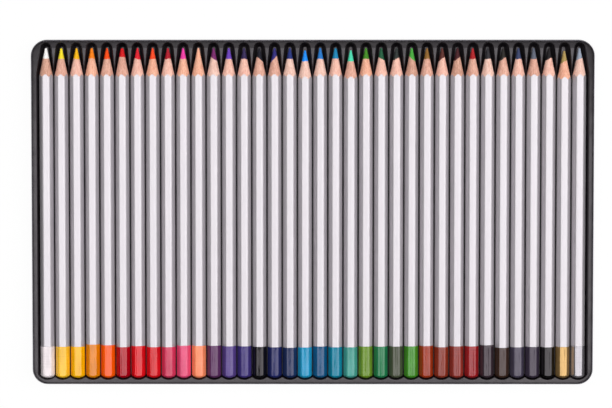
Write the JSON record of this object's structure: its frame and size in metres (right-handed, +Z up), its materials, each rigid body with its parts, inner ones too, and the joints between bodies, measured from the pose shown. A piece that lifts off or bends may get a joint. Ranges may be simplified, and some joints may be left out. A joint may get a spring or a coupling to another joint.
{
  "type": "colored pencil tin",
  "caption": "Flat open metal tin with its slip-over lid nested underneath and a formed plastic tray holding a single row of sharpened hexagonal colored pencils.",
  "frame": {"origin": "centre of the underside of the lid's raised panel, on which the open tin stands", "axes": "+X along the row of pencils, from the white one to the silver one; +Y towards the sharpened points; +Z up"},
  "size_m": [0.2972, 0.1824, 0.0097],
  "materials": {
    "lid_lacquer": "satin black lacquer",
    "base_lacquer": "satin black lacquer",
    "tray_plastic": "thermoformed black sheet, soft gloss",
    "pencil_01_white": "silver lacquered barrel, white core and dipped end",
    "pencil_02_lemon_yellow": "silver lacquered barrel, lemon yellow core and dipped end",
    "pencil_03_golden_yellow": "silver lacquered barrel, golden yellow core and dipped end",
    "pencil_04_orange": "silver lacquered barrel, orange core and dipped end",
    "pencil_05_vermilion": "silver lacquered barrel, vermilion core and dipped end",
    "pencil_06_scarlet": "silver lacquered barrel, scarlet core and dipped end",
    "pencil_07_carmine": "silver lacquered barrel, carmine core and dipped end",
    "pencil_08_coral_red": "silver lacquered barrel, coral red core and dipped end",
    "pencil_09_rose_red": "silver lacquered barrel, rose red core and dipped end",
    "pencil_10_pink": "silver lacquered barrel, pink core and dipped end",
    "pencil_11_peach": "silver lacquered barrel, peach core and dipped end",
    "pencil_12_plum": "silver lacquered barrel, plum core and dipped end",
    "pencil_13_violet": "silver lacquered barrel, violet core and dipped end",
    "pencil_14_dark_violet": "silver lacquered barrel, dark violet core and dipped end",
    "pencil_15_indigo": "silver lacquered barrel, indigo core and dipped end",
    "pencil_16_ultramarine": "silver lacquered barrel, ultramarine core and dipped end",
    "pencil_17_prussian_blue": "silver lacquered barrel, prussian blue core and dipped end",
    "pencil_18_azure": "silver lacquered barrel, azure core and dipped end",
    "pencil_19_cobalt_blue": "silver lacquered barrel, cobalt blue core and dipped end",
    "pencil_20_cerulean": "silver lacquered barrel, cerulean core and dipped end",
    "pencil_21_turquoise": "silver lacquered barrel, turquoise core and dipped end",
    "pencil_22_leaf_green": "silver lacquered barrel, leaf green core and dipped end",
    "pencil_23_emerald": "silver lacquered barrel, emerald core and dipped end",
    "pencil_24_pine_green": "silver lacquered barrel, pine green core and dipped end",
    "pencil_25_light_green": "silver lacquered barrel, light green core and dipped end",
    "pencil_26_ochre": "silver lacquered barrel, ochre core and dipped end",
    "pencil_27_burnt_sienna": "silver lacquered barrel, burnt sienna core and dipped end",
    "pencil_28_umber": "silver lacquered barrel, umber core and dipped end",
    "pencil_29_crimson": "silver lacquered barrel, crimson core and dipped end",
    "pencil_30_black": "silver lacquered barrel, black core and dipped end",
    "pencil_31_sepia": "silver lacquered barrel, sepia core and dipped end",
    "pencil_32_slate_blue": "silver lacquered barrel, slate blue core and dipped end",
    "pencil_33_grey": "silver lacquered barrel, grey core and dipped end",
    "pencil_34_charcoal": "silver lacquered barrel, charcoal core and dipped end",
    "pencil_35_gold": "silver lacquered barrel, gold core and dipped end",
    "pencil_36_silver": "silver lacquered barrel, silver core and dipped end"
  },
  "bodies": {
    "lid": {"lid": "lid_lacquer"},
    "tin_base": {"tin_base": "base_lacquer"},
    "pencil_tray": {"pencil_tray": "tray_plastic"},
    "pencil_01": {"pencil_01_white": "pencil_01_white"},
    "pencil_02": {"pencil_02_lemon_yellow": "pencil_02_lemon_yellow"},
    "pencil_03": {"pencil_03_golden_yellow": "pencil_03_golden_yellow"},
    "pencil_04": {"pencil_04_orange": "pencil_04_orange"},
    "pencil_05": {"pencil_05_vermilion": "pencil_05_vermilion"},
    "pencil_06": {"pencil_06_scarlet": "pencil_06_scarlet"},
    "pencil_07": {"pencil_07_carmine": "pencil_07_carmine"},
    "pencil_08": {"pencil_08_coral_red": "pencil_08_coral_red"},
    "pencil_09": {"pencil_09_rose_red": "pencil_09_rose_red"},
    "pencil_10": {"pencil_10_pink": "pencil_10_pink"},
    "pencil_11": {"pencil_11_peach": "pencil_11_peach"},
    "pencil_12": {"pencil_12_plum": "pencil_12_plum"},
    "pencil_13": {"pencil_13_violet": "pencil_13_violet"},
    "pencil_14": {"pencil_14_dark_violet": "pencil_14_dark_violet"},
    "pencil_15": {"pencil_15_indigo": "pencil_15_indigo"},
    "pencil_16": {"pencil_16_ultramarine": "pencil_16_ultramarine"},
    "pencil_17": {"pencil_17_prussian_blue": "pencil_17_prussian_blue"},
    "pencil_18": {"pencil_18_azure": "pencil_18_azure"},
    "pencil_19": {"pencil_19_cobalt_blue": "pencil_19_cobalt_blue"},
    "pencil_20": {"pencil_20_cerulean": "pencil_20_cerulean"},
    "pencil_21": {"pencil_21_turquoise": "pencil_21_turquoise"},
    "pencil_22": {"pencil_22_leaf_green": "pencil_22_leaf_green"},
    "pencil_23": {"pencil_23_emerald": "pencil_23_emerald"},
    "pencil_24": {"pencil_24_pine_green": "pencil_24_pine_green"},
    "pencil_25": {"pencil_25_light_green": "pencil_25_light_green"},
    "pencil_26": {"pencil_26_ochre": "pencil_26_ochre"},
    "pencil_27": {"pencil_27_burnt_sienna": "pencil_27_burnt_sienna"},
    "pencil_28": {"pencil_28_umber": "pencil_28_umber"},
    "pencil_29": {"pencil_29_crimson": "pencil_29_crimson"},
    "pencil_30": {"pencil_30_black": "pencil_30_black"},
    "pencil_31": {"pencil_31_sepia": "pencil_31_sepia"},
    "pencil_32": {"pencil_32_slate_blue": "pencil_32_slate_blue"},
    "pencil_33": {"pencil_33_grey": "pencil_33_grey"},
    "pencil_34": {"pencil_34_charcoal": "pencil_34_charcoal"},
    "pencil_35": {"pencil_35_gold": "pencil_35_gold"},
    "pencil_36": {"pencil_36_silver": "pencil_36_silver"}
  },
  "joints": [
    {"name": "base_out_of_lid", "type": "slide", "parent": "lid", "child": "tin_base", "axis": [0, 0, 1], "range_m": [0, 0.03]},
    {"name": "tray_out_of_base", "type": "slide", "parent": "tin_base", "child": "pencil_tray", "axis": [0, 0, 1], "range_m": [0, 0.03]},
    {"name": "pencil_01_out_of_well", "type": "slide", "parent": "pencil_tray", "child": "pencil_01", "axis": [0, 0, 1], "range_m": [0, 0.03]},
    {"name": "pencil_02_out_of_well", "type": "slide", "parent": "pencil_tray", "child": "pencil_02", "axis": [0, 0, 1], "range_m": [0, 0.03]},
    {"name": "pencil_03_out_of_well", "type": "slide", "parent": "pencil_tray", "child": "pencil_03", "axis": [0, 0, 1], "range_m": [0, 0.03]},
    {"name": "pencil_04_out_of_well", "type": "slide", "parent": "pencil_tray", "child": "pencil_04", "axis": [0, 0, 1], "range_m": [0, 0.03]},
    {"name": "pencil_05_out_of_well", "type": "slide", "parent": "pencil_tray", "child": "pencil_05", "axis": [0, 0, 1], "range_m": [0, 0.03]},
    {"name": "pencil_06_out_of_well", "type": "slide", "parent": "pencil_tray", "child": "pencil_06", "axis": [0, 0, 1], "range_m": [0, 0.03]},
    {"name": "pencil_07_out_of_well", "type": "slide", "parent": "pencil_tray", "child": "pencil_07", "axis": [0, 0, 1], "range_m": [0, 0.03]},
    {"name": "pencil_08_out_of_well", "type": "slide", "parent": "pencil_tray", "child": "pencil_08", "axis": [0, 0, 1], "range_m": [0, 0.03]},
    {"name": "pencil_09_out_of_well", "type": "slide", "parent": "pencil_tray", "child": "pencil_09", "axis": [0, 0, 1], "range_m": [0, 0.03]},
    {"name": "pencil_10_out_of_well", "type": "slide", "parent": "pencil_tray", "child": "pencil_10", "axis": [0, 0, 1], "range_m": [0, 0.03]},
    {"name": "pencil_11_out_of_well", "type": "slide", "parent": "pencil_tray", "child": "pencil_11", "axis": [0, 0, 1], "range_m": [0, 0.03]},
    {"name": "pencil_12_out_of_well", "type": "slide", "parent": "pencil_tray", "child": "pencil_12", "axis": [0, 0, 1], "range_m": [0, 0.03]},
    {"name": "pencil_13_out_of_well", "type": "slide", "parent": "pencil_tray", "child": "pencil_13", "axis": [0, 0, 1], "range_m": [0, 0.03]},
    {"name": "pencil_14_out_of_well", "type": "slide", "parent": "pencil_tray", "child": "pencil_14", "axis": [0, 0, 1], "range_m": [0, 0.03]},
    {"name": "pencil_15_out_of_well", "type": "slide", "parent": "pencil_tray", "child": "pencil_15", "axis": [0, 0, 1], "range_m": [0, 0.03]},
    {"name": "pencil_16_out_of_well", "type": "slide", "parent": "pencil_tray", "child": "pencil_16", "axis": [0, 0, 1], "range_m": [0, 0.03]},
    {"name": "pencil_17_out_of_well", "type": "slide", "parent": "pencil_tray", "child": "pencil_17", "axis": [0, 0, 1], "range_m": [0, 0.03]},
    {"name": "pencil_18_out_of_well", "type": "slide", "parent": "pencil_tray", "child": "pencil_18", "axis": [0, 0, 1], "range_m": [0, 0.03]},
    {"name": "pencil_19_out_of_well", "type": "slide", "parent": "pencil_tray", "child": "pencil_19", "axis": [0, 0, 1], "range_m": [0, 0.03]},
    {"name": "pencil_20_out_of_well", "type": "slide", "parent": "pencil_tray", "child": "pencil_20", "axis": [0, 0, 1], "range_m": [0, 0.03]},
    {"name": "pencil_21_out_of_well", "type": "slide", "parent": "pencil_tray", "child": "pencil_21", "axis": [0, 0, 1], "range_m": [0, 0.03]},
    {"name": "pencil_22_out_of_well", "type": "slide", "parent": "pencil_tray", "child": "pencil_22", "axis": [0, 0, 1], "range_m": [0, 0.03]},
    {"name": "pencil_23_out_of_well", "type": "slide", "parent": "pencil_tray", "child": "pencil_23", "axis": [0, 0, 1], "range_m": [0, 0.03]},
    {"name": "pencil_24_out_of_well", "type": "slide", "parent": "pencil_tray", "child": "pencil_24", "axis": [0, 0, 1], "range_m": [0, 0.03]},
    {"name": "pencil_25_out_of_well", "type": "slide", "parent": "pencil_tray", "child": "pencil_25", "axis": [0, 0, 1], "range_m": [0, 0.03]},
    {"name": "pencil_26_out_of_well", "type": "slide", "parent": "pencil_tray", "child": "pencil_26", "axis": [0, 0, 1], "range_m": [0, 0.03]},
    {"name": "pencil_27_out_of_well", "type": "slide", "parent": "pencil_tray", "child": "pencil_27", "axis": [0, 0, 1], "range_m": [0, 0.03]},
    {"name": "pencil_28_out_of_well", "type": "slide", "parent": "pencil_tray", "child": "pencil_28", "axis": [0, 0, 1], "range_m": [0, 0.03]},
    {"name": "pencil_29_out_of_well", "type": "slide", "parent": "pencil_tray", "child": "pencil_29", "axis": [0, 0, 1], "range_m": [0, 0.03]},
    {"name": "pencil_30_out_of_well", "type": "slide", "parent": "pencil_tray", "child": "pencil_30", "axis": [0, 0, 1], "range_m": [0, 0.03]},
    {"name": "pencil_31_out_of_well", "type": "slide", "parent": "pencil_tray", "child": "pencil_31", "axis": [0, 0, 1], "range_m": [0, 0.03]},
    {"name": "pencil_32_out_of_well", "type": "slide", "parent": "pencil_tray", "child": "pencil_32", "axis": [0, 0, 1], "range_m": [0, 0.03]},
    {"name": "pencil_33_out_of_well", "type": "slide", "parent": "pencil_tray", "child": "pencil_33", "axis": [0, 0, 1], "range_m": [0, 0.03]},
    {"name": "pencil_34_out_of_well", "type": "slide", "parent": "pencil_tray", "child": "pencil_34", "axis": [0, 0, 1], "range_m": [0, 0.03]},
    {"name": "pencil_35_out_of_well", "type": "slide", "parent": "pencil_tray", "child": "pencil_35", "axis": [0, 0, 1], "range_m": [0, 0.03]},
    {"name": "pencil_36_out_of_well", "type": "slide", "parent": "pencil_tray", "child": "pencil_36", "axis": [0, 0, 1], "range_m": [0, 0.03]}
  ]
}
